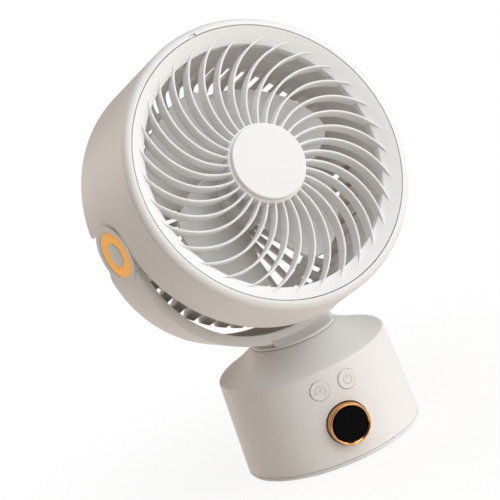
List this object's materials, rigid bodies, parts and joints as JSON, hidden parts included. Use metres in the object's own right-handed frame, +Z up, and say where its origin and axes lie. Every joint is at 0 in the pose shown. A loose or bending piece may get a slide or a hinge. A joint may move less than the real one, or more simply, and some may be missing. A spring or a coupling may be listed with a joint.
{
  "type": "desk fan",
  "caption": "Small rechargeable desk fan: drum head with spiral front grille tilts in a yoke that swings on a flared round base with a rotary knob and push buttons.",
  "frame": {"origin": "centre of the foot pad on the surface the fan stands on, on the axis of the base", "axes": "+Z up, -Y to the knob side of the base, +X to the right of someone who faces the knob; the yoke is drawn swung 17.6 degrees and the head tilted 21.3 degrees up, as pictured"},
  "size_m": [0.1705, 0.1313, 0.2397],
  "materials": {
    "white_shell": "fine satin moulded ABS, warm white",
    "white_grille": "satin moulded ABS, white",
    "inner_white": "matte moulded ABS, shaded inside",
    "accent_orange": "satin orange trim",
    "copper_trim": "rose copper finish, polished",
    "black_glass": "glossy black display window",
    "rubber_foot": "matte rubber",
    "steel": "zinc plated steel",
    "ballast_steel": "blackened steel plate",
    "circuit_board": "green solder mask",
    "black_plastic": "black moulded plastic",
    "cell_sleeve": "shrink sleeve on lithium cells",
    "copper_wire": "enamelled copper windings",
    "magnet": "ferrite magnet ring",
    "brass_bush": "sintered bronze bearing",
    "acetal": "natural acetal",
    "aluminium_mount": "die cast aluminium"
  },
  "bodies": {
    "base": {"base_shell": "white_shell", "base_cover": "white_shell", "foot_pad": "rubber_foot", "cover_screws": "steel", "ballast_plate": "ballast_steel", "battery_cradle": "black_plastic", "battery_cells": "cell_sleeve", "control_board": "circuit_board", "encoder": "black_plastic", "display_holder": "black_plastic", "display_panel": "black_glass", "display_glass": "black_glass", "tact_switches": "black_plastic", "charge_board": "circuit_board", "usb_socket": "steel", "swing_motor": "steel", "swing_motor_screws": "steel", "neck_bush": "acetal"},
    "knob": {"knob_ring": "copper_trim"},
    "power_key": {"power_button": "white_shell"},
    "swing_key": {"swing_button": "white_shell"},
    "yoke": {"turntable": "white_shell", "turntable_retainer": "acetal", "retainer_screws": "steel", "swing_shaft": "steel", "yoke_shell": "white_shell", "yoke_liner": "inner_white", "accent_ring_right": "accent_orange", "accent_ring_left": "accent_orange", "pivot_cap_right": "white_shell", "pivot_cap_left": "white_shell", "pivot_pin_right": "steel", "pivot_pin_left": "steel", "pivot_washers": "acetal"},
    "head": {"head_shell": "white_shell", "front_grille": "white_grille", "hub_cap": "white_grille", "front_duct": "inner_white", "shell_screws": "steel", "rear_basket": "inner_white", "motor_mount": "aluminium_mount", "motor_screws": "steel", "motor_board": "circuit_board", "motor_bearings": "brass_bush", "stator_core": "steel", "stator_coils": "copper_wire"},
    "fan": {"impeller": "inner_white", "rotor_can": "steel", "rotor_magnet": "magnet", "motor_shaft": "steel", "impeller_nut": "inner_white"}
  },
  "joints": [
    {"name": "swing", "type": "hinge", "parent": "base", "child": "yoke", "pos_m": [0, 0, 0.066], "axis": [0, 0, 1], "range_deg": [-62.6, 27.4]},
    {"name": "tilt", "type": "hinge", "parent": "yoke", "child": "head", "pos_m": [-0.00112, 0.00353, 0.149], "axis": [-0.9532, -0.3024, 0], "range_deg": [-21.3, 68.7]},
    {"name": "fan_spin", "type": "hinge", "parent": "head", "child": "fan", "pos_m": [-0.00112, 0.00353, 0.149], "axis": [0.2817, -0.8881, 0.3633], "continuous": true},
    {"name": "knob_turn", "type": "hinge", "parent": "base", "child": "knob", "pos_m": [0, -0.0485, 0.0225], "axis": [0, -1, 0], "continuous": true},
    {"name": "power_press", "type": "slide", "parent": "base", "child": "power_key", "axis": [-0.1685, 0.9857, 0], "range_m": [0, 0.0005], "stiffness_N_per_m": 1500, "springref_m": -0.0003},
    {"name": "swing_press", "type": "slide", "parent": "base", "child": "swing_key", "axis": [0.1685, 0.9857, 0], "range_m": [0, 0.0005], "stiffness_N_per_m": 1500, "springref_m": -0.0003}
  ]
}
